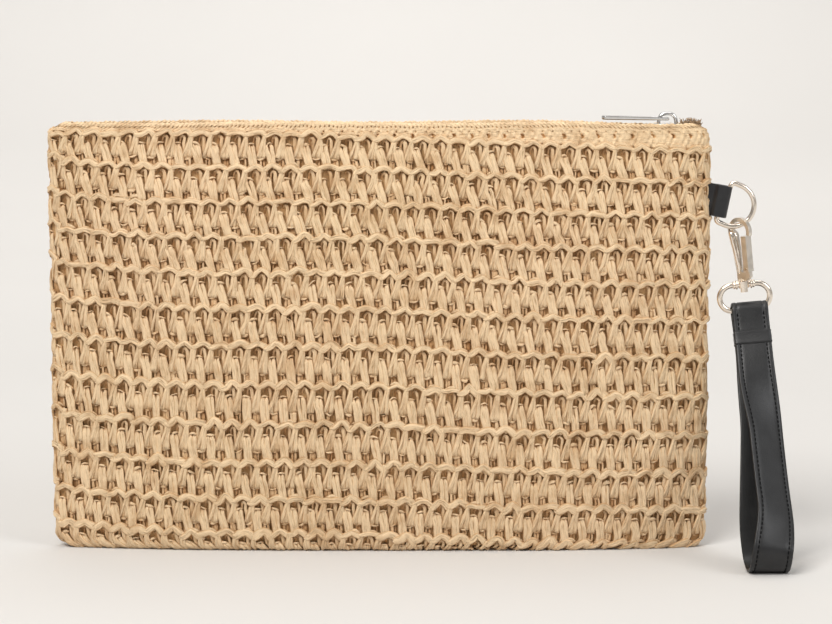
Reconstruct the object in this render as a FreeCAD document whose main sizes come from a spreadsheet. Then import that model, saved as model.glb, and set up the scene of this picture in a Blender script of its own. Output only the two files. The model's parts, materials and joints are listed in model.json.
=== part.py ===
"""Crocheted straw clutch purse with a zip and a clip-on wrist strap.

Origin: middle of the base the purse stands on.  +X runs along the purse to the
strap side, +Y to the back, +Z up.  The purse is shown zipped, standing up, with the
strap loop leaning forwards on the ground.
"""
import FreeCAD, Part
import math
import os
from FreeCAD import Placement, Rotation, Vector

doc = FreeCAD.newDocument("clutch_purse")

# ---------------------------------------------------------------- driving sizes, mm, degrees
SIZES = {
    # pouch
    "pouch_width": 300.0,
    "pouch_height": 195.0,
    "base_half_depth": 12.5,
    "belly_half_depth": 16.5,
    "belly_height": 58.5,
    "mouth_half_depth": 7.8,
    "seam_half_depth": 3.0,
    "base_edge_round": 5.0,
    "corner_round": 8.0,
    "base_chain_reach": 138.0,
    "base_chain_lap": 3.0,
    "straw_thickness": 2.6,
    "lining_thickness": 0.8,
    "lining_gap": 0.3,
    "lining_seam_allowance": 4.0,
    "lining_top_drop": 7.0,
    # zip
    "chain_height": 191.5,
    "chain_half_length": 137.0,
    "tape_half_width": 4.6,
    "tape_end_half_width": 2.6,
    "tape_end_taper": 26.0,
    "tape_thickness": 0.5,
    "tooth_pitch": 2.1,
    "tooth_length": 1.25,
    "tooth_reach": 2.4,
    "tooth_root": 0.8,
    "tooth_thickness": 1.5,
    "chain_slit": 0.8,
    "stop_length": 1.6,
    "slider_centre": 128.9,
    "slider_length": 12.0,
    "slider_half_width": 4.0,
    "slider_tail_half_width": 3.1,
    "slider_plate": 1.2,
    "slider_play": 0.2,
    "slider_web": 0.4,
    "slider_web_length": 5.0,
    "bridge_length": 9.6,
    "bridge_rise": 5.4,
    "bridge_strip": 1.2,
    "bridge_width": 3.2,
    "pull_length": 29.5,
    "pull_width": 6.6,
    "pull_thickness": 1.4,
    "pull_eye_length": 7.2,
    "pull_eye_width": 4.2,
    "pull_rise": 2.2,
    # leather ring tab in the side seam
    "tab_height": 159.6,
    "tab_start": 150.2,
    "tab_tilt": 11.0,
    "tab_width": 14.4,
    "tab_ply": 1.1,
    "tab_tail": 4.0,
    "tab_loop_start": -0.4,
    "tab_loop_end": 7.4,
    "tab_loop_hollow": 1.7,
    # D-ring
    "ring_wire": 1.2,
    "dring_tilt": 23.0,
    "dring_half_bar": 9.6,
    "dring_arc_offset": 4.4,
    "dring_corner": 1.8,
    "dring_bar_reach": 4.9,
    "hook_place_on_arc": 16.0,
    # swivel hook
    "hook_lean": 6.0,
    "hook_turn": 50.0,
    "claw_inner": 4.5,
    "claw_outer": 6.3,
    "claw_end_angle": -20.0,
    "claw_play": 0.75,
    "claw_shift": 0.8,
    "hook_thickness": 2.0,
    "hook_neck_half_width": 2.5,
    "hook_base_side": 5.2,
    "hook_base_top": 21.2,
    "hook_base_bottom": 25.2,
    "gate_pivot_drop": 19.6,
    "gate_pivot_side": 3.9,
    "gate_width": 3.0,
    "gate_depth": 3.6,
    "gate_wall": 0.5,
    "gate_top_drop": 4.7,
    "gate_bottom_drop": 20.9,
    "tongue_round": 0.9,
    "tongue_thickness": 2.0,
    "pin_radius": 0.55,
    "swivel_bore": 1.0,
    "swivel_fit": 0.05,
    "swivel_boss": 2.5,
    "swivel_boss_top": 25.4,
    "swivel_boss_bottom": 28.4,
    "swivel_head": 1.7,
    "swivel_head_bottom": 30.4,
    "strap_ring_wire": 1.35,
    "strap_ring_centre_drop": 32.7,
    "strap_ring_half_width": 11.4,
    "strap_ring_half_height": 5.85,
    # wrist strap
    "strap_width": 18.2,
    "strap_top_width": 16.4,
    "strap_lean": 28.0,
    "strap_ply": 1.3,
    "strap_backing": 0.4,
    "strap_eye": 2.85,
    "strap_eye_slot": 0.6,
    "strap_neck": 18.0,
    "strap_bend_radius": 10.0,
    "keeper_start": 11.5,
    "keeper_width": 6.5,
    "keeper_ply": 0.6,
    "keeper_play": 0.15,
}


def fill_sheet():
    """Writes every driving size to the sheet, with its name as the alias."""
    cells = doc.addObject("Spreadsheet::Sheet", "Sizes")
    for row, (alias, value) in enumerate(SIZES.items(), start=1):
        cells.set(f"A{row}", alias)
        cells.set(f"B{row}", str(value))
        cells.setAlias(f"B{row}", alias)
    doc.recompute()
    return cells


sheet = fill_sheet()


def size(alias):
    """One driving size, as the sheet holds it."""
    return float(sheet.get(alias))


# ---------------------------------------------------------------- frames of the hanging chain
def lean_about_y(at, degrees):
    """A frame at a point, turned about +Y: positive tips +X downwards."""
    return Placement(at, Rotation(Vector(0, 1, 0), degrees))


PURSE = Placement()
TAB = lean_about_y(Vector(size("tab_start"), 0, size("tab_height")), size("tab_tilt"))
DRING = lean_about_y(TAB.multVec(Vector(size("dring_bar_reach"), 0, 0)), size("dring_tilt"))


def hook_point():
    """Where the hook hangs on the D-ring's arc, in the D-ring's frame."""
    turn = math.radians(size("hook_place_on_arc") - 90 + size("dring_tilt"))
    reach = size("dring_half_bar")
    return Vector(size("dring_arc_offset") + reach * math.cos(turn), 0, reach * math.sin(turn))


SWIVEL = lean_about_y(DRING.multVec(hook_point()), -size("hook_lean"))
HOOK = SWIVEL.multiply(Placement(Vector(), Rotation(Vector(0, 0, 1), -size("hook_turn"))))
STRAP_BAR_DROP = size("strap_ring_centre_drop") + size("strap_ring_half_height")
STRAP = Placement(
    SWIVEL.multVec(Vector(0, 0, -STRAP_BAR_DROP)), Rotation(Vector(1, 0, 0), -size("strap_lean"))
)


# ---------------------------------------------------------------- modelling helpers
def placed(frame, local):
    """A local placement carried into a frame."""
    return frame.multiply(local)


def bind(thing, **expressions):
    """Ties properties of an object to cells of the sheet."""
    for name, expression in expressions.items():
        thing.setExpression(name, expression)
    return thing


def primitive(kind, name, frame, at, turn=Rotation(), **expressions):
    """A Part primitive, at a local place in a frame, with sizes bound to the sheet."""
    thing = doc.addObject(kind, name)
    thing.Placement = placed(frame, Placement(at, turn))
    return bind(thing, **expressions)


def fused(name, parts):
    """One solid from several overlapping or touching ones."""
    thing = doc.addObject("Part::MultiFuse", name)
    thing.Shapes = parts
    thing.Refine = True
    return thing


def cut(name, base, tool):
    """The base with the tool's volume removed."""
    thing = doc.addObject("Part::Cut", name)
    thing.Base = base
    thing.Tool = tool
    return thing


def feature(name, shape, frame=PURSE):
    """A free-form shape, which no primitive or sketch feature describes."""
    thing = doc.addObject("Part::Feature", name)
    thing.Shape = shape
    thing.Placement = frame
    return thing


def new_body(name, frame):
    """An empty PartDesign body in a frame."""
    body = doc.addObject("PartDesign::Body", name)
    body.Placement = frame
    return body


def sketch_on(body, role, start):
    """A sketch on one of the body's own origin planes, moved along that plane's normal."""
    sketch = body.newObject("Sketcher::SketchObject", f"{body.Name}_outline")
    plane = next(item for item in body.Origin.OriginFeatures if item.Role == role)
    sketch.AttachmentSupport = [(plane, "")]
    sketch.MapMode = "FlatFace"
    sketch.AttachmentOffset = Placement(Vector(0, 0, start), Rotation())
    return sketch


def polygon(sketch, points):
    """Closed straight-sided outline through the points."""
    for here, there in zip(points, points[1:] + points[:1]):
        sketch.addGeometry(Part.LineSegment(Vector(*here, 0), Vector(*there, 0)), False)


def pad(body, role, points, length, start=0.0, centred=False):
    """A padded polygon; length is an expression."""
    sketch = sketch_on(body, role, start)
    polygon(sketch, points)
    block = body.newObject("PartDesign::Pad", f"{body.Name}_pad")
    block.Profile = sketch
    block.setExpression("Length", length)
    block.Midplane = centred
    return block


def pocket(body, role, points, length, start=0.0, centred=False):
    """A pocketed polygon; length is an expression."""
    sketch = sketch_on(body, role, start)
    polygon(sketch, points)
    hollow = body.newObject("PartDesign::Pocket", f"{body.Name}_pocket")
    hollow.Profile = sketch
    hollow.setExpression("Length", length)
    hollow.Midplane = centred
    return hollow


def rectangle(x_low, x_high, y_low, y_high):
    """Corner points of an upright rectangle."""
    return [(x_low, y_low), (x_high, y_low), (x_high, y_high), (x_low, y_high)]


# ---------------------------------------------------------------- pouch
def half_depth(height):
    """Half the pouch's depth at mid-width: a parabola from base through belly to mouth."""
    base, belly, mouth = size("base_half_depth"), size("belly_half_depth"), size("mouth_half_depth")
    at_belly, at_mouth = size("belly_height"), size("pouch_height")
    rise = (belly - base) / at_belly
    fall = (mouth - belly) / (at_mouth - at_belly)
    bend = (fall - rise) / at_mouth
    depth = base + rise * height + bend * height * (height - at_belly)
    edge = size("base_edge_round")
    if height < edge:
        depth -= edge - math.sqrt(edge**2 - (edge - height) ** 2)
    return depth


def squareness(height):
    """Exponent of a level's outline: lens-shaped at the base, nearly straight at the mouth."""
    return 3.0 + 13.0 * min(height / size("pouch_height"), 1.0) ** 4


def level_wire(height, inset, side_inset):
    """Outline of the front half at one height, drawn in by an inset, closed along y = 0."""
    reach = size("pouch_width") / 2 - side_inset
    edge = max(size("seam_half_depth") - inset, 0.0)
    depth = half_depth(height) - inset
    power = squareness(height)
    steps = 24
    points = []
    for step in range(steps + 1):
        across = -1 + 2 * step / steps
        out = edge + (depth - edge) * (1 - abs(across) ** power)
        points.append(Vector(across * reach, -out, height))
    curve = Part.BSplineCurve()
    curve.interpolate(points)
    corners = [Vector(reach, 0, height), Vector(-reach, 0, height)]
    if edge > 0:
        corners = [points[-1]] + corners + [points[0]]
    lines = [Part.LineSegment(a, b).toShape() for a, b in zip(corners, corners[1:])]
    return Part.Wire([curve.toShape()] + lines)


def front_half(inset, side_inset, low, high):
    """Front half of the pouch's space, drawn in by an inset, between two heights."""
    edge = size("base_edge_round")
    inner = [edge * f for f in (0.12, 0.35, 0.65, 1.0)]
    inner += [size("pouch_height") * f for f in (0.1, 0.2, 0.35, 0.5, 0.65, 0.8, 0.92)]
    heights = [low] + [level for level in inner if low + 0.3 < level < high - 0.3] + [high]
    wires = [level_wire(height, inset, side_inset) for height in heights]
    return Part.makeLoft(wires, True, True)


def corner_block(side_inset):
    """Prism across the pouch's depth with the rounded corners of its front outline."""
    width, height = size("pouch_width") - 2 * side_inset, size("pouch_height") + side_inset
    block = Part.makeBox(width, 80, height, Vector(-width / 2, -40, 0))
    upright = [e for e in block.Edges if abs(e.tangentAt(e.FirstParameter).y) > 0.99]
    return block.makeFillet(size("corner_round"), upright)


def seam_slot():
    """Where the leather tab's tail is sewn into the side seam."""
    width, ply, tail = size("tab_width"), size("tab_ply"), size("tab_tail")
    fold = ply + size("tab_loop_hollow") + 0.2
    slot = Part.makeBox(tail + 3, 2 * ply, width, Vector(-tail, -ply, -width / 2))
    corner = Vector(size("tab_loop_start") - 0.8, -fold, -width / 2 - 0.2)
    mouth = Part.makeBox(4, 2 * fold, width + 0.4, corner)
    slot = slot.fuse(mouth)
    slot.Placement = TAB
    return slot


def pouch_panels():
    """Front and back crocheted straw panels; the front one holds the base's first chain."""
    wall, top = size("straw_thickness"), size("pouch_height")
    outside = front_half(0.0, 0.0, 0.0, top).common(corner_block(0.0))
    inside = front_half(wall, wall, wall, top + 1)
    panel = outside.cut(inside).cut(seam_slot())
    mirrored = panel.mirror(Vector(), Vector(0, 1, 0))
    reach, lap = size("base_chain_reach"), size("base_chain_lap")
    chain = Part.makeBox(2 * reach, lap, wall, Vector(-reach, 0, 0))
    front = panel.fuse(chain).removeSplitter()
    return [feature("straw_front", front), feature("straw_back", mirrored.cut(chain))]


def lining_panels():
    """Front and back lining, hung inside the straw from the zip tapes."""
    outer = size("straw_thickness") + size("lining_gap")
    inner = outer + size("lining_thickness")
    side = outer + size("lining_seam_allowance")
    high = size("pouch_height") - size("lining_top_drop")
    outside = front_half(outer, side, outer, high)
    inside = front_half(inner, side + size("lining_thickness"), inner, high + 1)
    panel = outside.cut(inside)
    back = panel.mirror(Vector(), Vector(0, 1, 0))
    return [feature("lining_front", panel), feature("lining_back", back)]


# ---------------------------------------------------------------- zip
def zip_tape(name, side):
    """One zip tape: a flat strip that narrows where the mouth's ends close."""
    long, taper = size("chain_half_length") + 2.0, size("tape_end_taper")
    slit, wide, end = size("chain_slit") / 2, size("tape_half_width"), size("tape_end_half_width")
    points = [(-long, slit), (long, slit), (long, end), (long - taper, wide)]
    points += [(-long + taper, wide), (-long, end)]
    points = [(x, side * y) for x, y in points]
    body = new_body(name, Placement(Vector(0, 0, size("chain_height")), Rotation()))
    pad(body, "XY_Plane", points, "Sizes.tape_thickness", centred=True)
    return body


def zip_teeth(name, side):
    """One row of zip teeth: a comb above the tape, offset half a pitch from the other row."""
    pitch, long = size("tooth_pitch"), size("tooth_length")
    reach, root, slit = size("tooth_reach"), size("tooth_root"), size("chain_slit") / 2
    half = size("chain_half_length") - 2.0
    count = int(2 * half / pitch)
    start = -half + (pitch / 2 if side > 0 else 0)
    outline = [Vector(start, side * reach, 0)]
    for tooth in range(count):
        left = start + tooth * pitch
        outline += [
            Vector(left, side * slit, 0),
            Vector(left + long, side * slit, 0),
            Vector(left + long, side * (reach - root), 0),
            Vector(left + pitch, side * (reach - root), 0),
        ]
    outline += [Vector(start + count * pitch, side * reach, 0), outline[0]]
    comb = Part.Face(Part.makePolygon(outline)).extrude(Vector(0, 0, size("tooth_thickness") / 2))
    lift = size("chain_height") + size("tape_thickness") / 2
    return feature(name, comb, Placement(Vector(0, 0, lift), Rotation()))


def zip_stop(name, centre, side):
    """A small metal stop clamped on the chain beyond the last tooth."""
    lift = size("chain_height") + size("tape_thickness") / 2
    base = size("chain_slit") / 2 if side > 0 else -size("chain_slit") / 2 - 1.8
    return primitive(
        "Part::Box", name, PURSE, Vector(centre - size("stop_length") / 2, base, lift),
        Length="Sizes.stop_length", Width="1.8", Height="Sizes.tooth_thickness / 2",
    )


def zip_stops():
    """Two top stops at the strap end, and one bottom stop across both tapes."""
    place = size("chain_half_length")
    pair = doc.addObject("Part::Compound", "zip_top_stops")
    pair.Links = [zip_stop("top_stop_front", place, -1), zip_stop("top_stop_back", place, 1)]
    lift = size("chain_height") + size("tape_thickness") / 2
    bottom = primitive(
        "Part::Box", "zip_bottom_stop", PURSE,
        Vector(-place - size("stop_length") / 2, -1.8, lift),
        Length="Sizes.stop_length", Width="3.6", Height="Sizes.tooth_thickness / 2",
    )
    return [pair, bottom]


SLIDER = Placement(Vector(size("slider_centre"), 0, size("chain_height")), Rotation())
SLIDER_TOP = size("tape_thickness") / 2 + size("tooth_thickness") / 2 + size("slider_play")
SLIDER_UNDER = size("tape_thickness") / 2 + size("slider_play")


def slider_body():
    """Slider: an upper and a lower plate joined by a web that runs in the chain's slit."""
    half, wide, tail = size("slider_length") / 2, size("slider_half_width"), size("slider_tail_half_width")
    plate = [(half - 3, wide), (half, wide - 2), (half, -wide + 2), (half - 3, -wide), (0, -wide)]
    plate += [(-half + 2, -tail), (-half, -tail + 1), (-half, tail - 1), (-half + 2, tail), (0, wide)]
    body = new_body("slider_body", SLIDER)
    pad(body, "XY_Plane", plate, "Sizes.slider_plate", start=SLIDER_TOP)
    web, thin = size("slider_web_length"), size("slider_web") / 2
    deep = SLIDER_TOP + SLIDER_UNDER
    block = pad(body, "XY_Plane", rectangle(0, web, -thin, thin), "1", start=-SLIDER_UNDER)
    block.setExpression("Length", None)
    block.Length = deep
    lower = pad(body, "XY_Plane", plate, "Sizes.slider_plate", start=-SLIDER_UNDER)
    lower.Reversed = True
    return body


def slider_bridge():
    """Arched bridge on the slider's upper plate; the pull hangs under it."""
    half, rise, strip = size("bridge_length") / 2, size("bridge_rise"), size("bridge_strip")
    base = SLIDER_TOP + size("slider_plate")
    outer = arch_points(half, rise, base)
    inner = arch_points(half - strip, rise - strip, base)
    body = new_body("slider_bridge", SLIDER)
    pad(body, "XZ_Plane", outer + inner[::-1], "Sizes.bridge_width", centred=True)
    return body


def arch_points(half, rise, base):
    """Half an oval standing on the base line, from one foot to the other."""
    steps = 16
    turns = [math.pi * step / steps for step in range(steps + 1)]
    return [
        (-half * math.copysign(abs(math.cos(a)) ** 0.75, math.cos(a)), base + rise * math.sin(a) ** 0.75)
        for a in turns
    ]


def pull_frame():
    """Frame of the pull: its cross bar under the bridge's middle."""
    lift = SLIDER_TOP + size("slider_plate") + size("pull_rise")
    return placed(SLIDER, Placement(Vector(0, 0, lift), Rotation()))


def zip_pull():
    """Flat pull bar with a square eye; it lies back along the zip."""
    frame = pull_frame()
    long, wide, thick = size("pull_length"), size("pull_width"), size("pull_thickness")
    eye, gap = size("pull_eye_length"), size("pull_eye_width") / 2
    body = new_body("zip_pull", frame)
    nose = [(-long, wide / 2 - 1.2), (-long, -wide / 2 + 1.2), (-long + 1.2, -wide / 2)]
    outline = nose + [(thick / 2, -wide / 2), (thick / 2, wide / 2), (-long + 1.2, wide / 2)]
    pad(body, "XY_Plane", outline, "Sizes.pull_thickness", centred=True)
    pocket(
        body, "XY_Plane", rectangle(-eye, -thick / 2, -gap, gap), "3 * Sizes.pull_thickness",
        centred=True,
    )
    return body


# ---------------------------------------------------------------- tab and D-ring
def ring_tab():
    """Leather tab: two plies from the side seam, folded round the D-ring's bar."""
    ply, start, end = size("tab_ply"), size("tab_loop_start"), size("tab_loop_end")
    tail, hollow = size("tab_tail"), size("tab_loop_hollow")
    body = new_body("ring_tab", TAB)
    outer = hollow + ply
    outline = [(-tail, -ply), (start, -ply), (start + 1.5, -outer)] + half_turn(end, outer)
    outline += [(start + 1.5, outer), (start, ply), (-tail, ply)]
    pad(body, "XY_Plane", outline, "Sizes.tab_width", centred=True)
    room = [(start, 0.0), (start + 1.5, -hollow)] + half_turn(end, hollow) + [(start + 1.5, hollow)]
    pocket(body, "XY_Plane", room, "Sizes.tab_width + 2", centred=True)
    return body


def half_turn(centre, radius, steps=16):
    """Points of a half circle about (centre, 0), from -90 to +90 degrees."""
    turns = [math.radians(-90 + 180 * step / steps) for step in range(steps + 1)]
    return [(centre + radius * math.cos(a), radius * math.sin(a)) for a in turns]


def bent_wire(name, frame, wire, radius, at, turn, sweep):
    """A bend of round wire: part of a torus in the frame's upright plane."""
    upright = Rotation(Vector(1, 0, 0), 90).multiply(Rotation(Vector(0, 0, 1), turn))
    bend = primitive("Part::Torus", name, frame, at, upright, Radius1=radius, Radius2=wire)
    bend.Angle3 = sweep
    return bend


def straight_wire(name, frame, wire, start, end):
    """A straight run of round wire between two local points."""
    run = end - start
    turn = Rotation(Vector(0, 0, 1), run)
    rod = primitive("Part::Cylinder", name, frame, start, turn, Radius=wire)
    rod.Height = run.Length
    return rod


def d_ring():
    """D-ring: a straight bar, two short legs and a half circle of one wire."""
    bar, offset, corner = size("dring_half_bar"), size("dring_arc_offset"), size("dring_corner")
    wire = "Sizes.ring_wire"
    parts = [
        bent_wire("dring_arc", DRING, wire, "Sizes.dring_half_bar", Vector(offset, 0, 0), -90, 180),
        bent_wire("dring_top_corner", DRING, wire, "Sizes.dring_corner",
                  Vector(corner, 0, bar - corner), 90, 90),
        bent_wire("dring_low_corner", DRING, wire, "Sizes.dring_corner",
                  Vector(corner, 0, corner - bar), 180, 90),
        straight_wire("dring_bar", DRING, wire, Vector(0, 0, corner - bar), Vector(0, 0, bar - corner)),
        straight_wire("dring_top_leg", DRING, wire, Vector(corner, 0, bar), Vector(offset, 0, bar)),
        straight_wire("dring_low_leg", DRING, wire, Vector(corner, 0, -bar), Vector(offset, 0, -bar)),
    ]
    return fused("d_ring", parts)


# ---------------------------------------------------------------- swivel hook
CLAW_X = size("claw_shift")
CLAW_Z = size("ring_wire") + size("claw_play") - size("claw_inner")


def claw_points(radius, first, last, steps=20):
    """Points on the claw's arc between two angles, in degrees."""
    turns = [math.radians(first + (last - first) * step / steps) for step in range(steps + 1)]
    return [(CLAW_X + radius * math.cos(a), CLAW_Z + radius * math.sin(a)) for a in turns]


def hook_body():
    """Cast hook: claw over the D-ring, tapered limb, base, and the tongue for the gate."""
    inner, outer = size("claw_inner"), size("claw_outer")
    top, bottom, neck = -size("hook_base_top"), -size("hook_base_bottom"), size("hook_neck_half_width")
    end, base_side = size("claw_end_angle"), size("hook_base_side")
    outline = claw_points(outer, end, 180)
    outline += [(-neck, top), (-neck, bottom), (neck, bottom), (base_side, bottom + 2.0)]
    outline += [(base_side, top), (0.0, top)] + claw_points(inner, 180, end)
    body = new_body("hook_body", HOOK)
    pad(body, "XZ_Plane", outline, "Sizes.hook_thickness", centred=True)
    side, drop, round_end = size("gate_pivot_side"), size("gate_pivot_drop"), size("tongue_round")
    tongue = [(side - round_end, top - 0.5), (side + round_end, top - 0.5)]
    steps = 12
    for step in range(steps + 1):
        turn = math.pi * step / steps
        tongue.append((side + round_end * math.cos(turn), -drop + round_end * math.sin(turn)))
    pad(body, "XZ_Plane", tongue, "Sizes.tongue_thickness", centred=True)
    bore = sketch_on(body, "XZ_Plane", 0.0)
    bore.addGeometry(Part.Circle(Vector(side, -drop, 0), Vector(0, 0, 1), size("pin_radius")), False)
    hollow = body.newObject("PartDesign::Pocket", "hook_pin_bore")
    hollow.Profile = bore
    hollow.Length = 10
    hollow.Midplane = True
    socket = sketch_on(body, "XY_Plane", bottom)
    snug = size("swivel_bore") - size("swivel_fit")
    socket.addGeometry(Part.Circle(Vector(), Vector(0, 0, 1), snug), False)
    seat = body.newObject("PartDesign::Pocket", "hook_rivet_seat")
    seat.Profile = socket
    seat.Length = 3.0
    seat.Reversed = True
    return body


def hook_gate():
    """Gate lever: a channel open towards the limb, hinged on the tongue."""
    side, wide, wall = size("gate_pivot_side"), size("gate_width") / 2, size("gate_wall")
    low, high = -size("gate_bottom_drop"), -size("gate_top_drop")
    body = new_body("hook_gate", HOOK)
    pad(body, "XZ_Plane", rectangle(side - wide, side + wide, low, high), "Sizes.gate_depth", centred=True)
    pocket(
        body, "XZ_Plane", rectangle(side - wide - 1, side + wide - wall, low - 1, high - 1.0),
        "Sizes.gate_depth - 2 * Sizes.gate_wall", centred=True,
    )
    bore = sketch_on(body, "XZ_Plane", 0.0)
    centre = Vector(side, -size("gate_pivot_drop"), 0)
    radius = size("pin_radius") + size("swivel_fit")
    bore.addGeometry(Part.Circle(centre, Vector(0, 0, 1), radius), False)
    hollow = body.newObject("PartDesign::Pocket", "gate_pin_bore")
    hollow.Profile = bore
    hollow.Length = 10
    hollow.Midplane = True
    return body


def gate_pin():
    """Pin through the hook's tongue, which the gate turns on."""
    at = Vector(size("gate_pivot_side"), size("gate_depth") / 2 + 0.1, -size("gate_pivot_drop"))
    return primitive(
        "Part::Cylinder", "gate_pin", HOOK, at, Rotation(Vector(1, 0, 0), 90),
        Radius="Sizes.pin_radius", Height="Sizes.gate_depth + 0.2",
    )


def gate_spring():
    """Leaf spring in the channel, from the tongue's top to the gate's web."""
    side, drop = size("gate_pivot_side"), size("gate_pivot_drop")
    foot = -drop + size("tongue_round") + 0.1
    web = side + size("gate_width") / 2 - size("gate_wall") - 0.1
    leaf = 0.25
    outline = [(side - leaf, foot), (side, foot), (web, foot + 6), (web, foot + 8), (web - leaf, foot + 8)]
    outline.append((web - leaf, foot + 6))
    body = new_body("gate_spring", HOOK)
    pad(body, "XZ_Plane", outline, "1.6", centred=True)
    return body


def swivel_rivet():
    """Rivet from the hook's base through the strap ring's boss, headed inside the ring."""
    low, head = -size("swivel_head_bottom"), -size("swivel_boss_bottom") - 0.1
    shank_top = 3.0 - size("hook_base_bottom")
    shank = primitive(
        "Part::Cylinder", "rivet_shank", SWIVEL, Vector(0, 0, head),
        Radius="Sizes.swivel_bore - Sizes.swivel_fit",
    )
    shank.Height = shank_top - head
    button = primitive(
        "Part::Cylinder", "rivet_head", SWIVEL, Vector(0, 0, low), Radius="Sizes.swivel_head"
    )
    button.Height = head - low
    return fused("swivel_rivet", [shank, button])


def level_wire_run(name, wire, half, height):
    """A straight level run of the strap ring's wire."""
    return straight_wire(name, SWIVEL, wire, Vector(-half, 0, height), Vector(half, 0, height))


def strap_ring():
    """Oval strap ring of round wire with the boss that turns on the rivet."""
    tall, middle = size("strap_ring_half_height"), -size("strap_ring_centre_drop")
    straight = size("strap_ring_half_width") - tall
    wire, bend = "Sizes.strap_ring_wire", "Sizes.strap_ring_half_height"
    boss = primitive(
        "Part::Cylinder", "ring_boss", SWIVEL, Vector(0, 0, -size("swivel_boss_bottom")),
        Radius="Sizes.swivel_boss", Height="Sizes.swivel_boss_bottom - Sizes.swivel_boss_top",
    )
    parts = [
        bent_wire("ring_right", SWIVEL, wire, bend, Vector(straight, 0, middle), -90, 180),
        bent_wire("ring_left", SWIVEL, wire, bend, Vector(-straight, 0, middle), 90, 180),
        level_wire_run("ring_top", wire, straight, middle + tall),
        level_wire_run("ring_bar", wire, straight, middle - tall),
        boss,
    ]
    bore = primitive(
        "Part::Cylinder", "ring_bore", SWIVEL, Vector(0, 0, -size("swivel_boss_bottom") - 1),
        Radius="Sizes.swivel_bore", Height="Sizes.swivel_boss_bottom - Sizes.swivel_boss_top + 2",
    )
    return cut("strap_ring", fused("strap_ring_blank", parts), bore)


# ---------------------------------------------------------------- wrist strap
def strap_bend_drop():
    """Distance along the strap from the ring's bar to the bend's centre, so the bend
    rests on the ground."""
    fall = STRAP.Base.z - size("strap_bend_radius")
    return fall / math.cos(math.radians(size("strap_lean")))


def loop_points(inset):
    """Side outline of the strap loop drawn in by an inset: neck, flanks and round bend.

    Points are (across, along), with the ring's bar at the origin and the bend below."""
    eye = size("strap_eye") + size("strap_ply") + size("strap_backing") - inset
    low, high = strap_bend_drop(), size("strap_neck")
    bend = size("strap_bend_radius") - inset
    narrow = size("strap_ply") + size("strap_backing") + 0.1 - inset
    lean = math.asin((bend - narrow) / (low - high))
    steps = 20
    points = []
    for step in range(steps + 1):
        turn = lean + (math.pi - 2 * lean) * step / steps
        points.append((bend * math.cos(turn), -low - bend * math.sin(turn)))
    neck_left = [(-narrow, -high), (-narrow, -size("strap_eye") - 4.0)]
    return points, neck_left, eye


def strap_side(inset):
    """Closed side outline of the strap's outside, drawn in by an inset."""
    bend, neck_left, eye = loop_points(inset)
    slot = size("strap_eye_slot")
    steps = 16
    cap = []
    for step in range(steps + 1):
        turn = math.pi - math.pi * step / steps
        cap.append((eye * math.cos(turn), slot + eye * math.sin(turn)))
    neck_right = [(-x, z) for x, z in neck_left[::-1]]
    return bend + neck_left + [(-eye, 0.0)] + cap + [(eye, 0.0)] + neck_right


def strap_layer(name, outside, hollows):
    """One layer of the strap: the band between its side outlines, cut to the strap's
    front outline, which is narrower where it passes the ring."""
    face = Part.Face(upright_polygon(outside))
    for hollow in hollows:
        face = face.cut(Part.Face(upright_polygon(hollow)))
    band = face.extrude(Vector(size("strap_width"), 0, 0))
    return feature(name, band.common(strap_front()), STRAP)


def strap_front():
    """Prism through the strap's depth with its tapered front outline."""
    top, wide = size("strap_top_width") / 2, size("strap_width") / 2
    keeper_end = -size("keeper_start") - size("keeper_width")
    right = [(top, 12.0), (top, keeper_end), (wide, 3 * keeper_end), (wide, -2 * strap_bend_drop())]
    left = [(-x, z) for x, z in right[::-1]]
    corners = [Vector(x, -40, z) for x, z in right + left]
    return Part.Face(Part.makePolygon(corners + corners[:1])).extrude(Vector(0, 80, 0))


def strap_hollows(inset):
    """Side outlines inside the strap at an inset: the wrist loop and the ring's eye."""
    bend, neck_left, eye = loop_points(inset)
    join = size("strap_neck") + 1.5
    bend_room = bend + [(0.0, -join)]
    slot = size("strap_eye_slot")
    steps = 16
    cap = []
    for step in range(steps + 1):
        turn = math.pi - math.pi * step / steps
        cap.append((eye * math.cos(turn), slot + eye * math.sin(turn)))
    eye_room = [(0.0, -size("strap_eye") - 2.0), (-eye, 0.0)] + cap + [(eye, 0.0)]
    return [bend_room, eye_room]


def upright_polygon(points):
    """Closed wire in the plane of the strap's left edge, through (across, along) points."""
    corners = [Vector(-size("strap_width") / 2, x, z) for x, z in points]
    return Part.makePolygon(corners + corners[:1])


def strap_keeper():
    """Leather band round both plies just below the ring."""
    play, ply = size("keeper_play"), size("keeper_ply")
    across = size("strap_ply") + size("strap_backing") + 0.1 + play
    half = size("strap_top_width") / 2 + play
    top = -size("keeper_start")
    body = new_body("strap_keeper", STRAP)
    outer = rectangle(-half - ply, half + ply, -across - ply, across + ply)
    block = pad(body, "XY_Plane", outer, "Sizes.keeper_width", start=top)
    block.Reversed = True
    hollow = pocket(
        body, "XY_Plane", rectangle(-half, half, -across, across), "Sizes.keeper_width + 2",
        start=top + 1,
    )
    hollow.Reversed = False
    return body


# ---------------------------------------------------------------- build and write
def build_all():
    """Every sub-part, in the order it would be put together."""
    parts = pouch_panels() + lining_panels()
    for side, name in ((-1, "front"), (1, "back")):
        parts += [zip_tape(f"zip_tape_{name}", side), zip_teeth(f"zip_teeth_{name}", side)]
    parts += zip_stops()
    parts += [slider_body(), slider_bridge(), zip_pull(), ring_tab(), d_ring()]
    parts += [hook_body(), hook_gate(), gate_pin(), gate_spring(), swivel_rivet(), strap_ring()]
    leather = size("strap_ply")
    core, hollows = strap_side(leather), strap_hollows(leather + size("strap_backing"))
    parts.append(strap_layer("strap_outer", strap_side(0.0), [core]))
    parts.append(strap_layer("strap_backing", core, hollows))
    parts.append(strap_keeper())
    return parts


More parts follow.
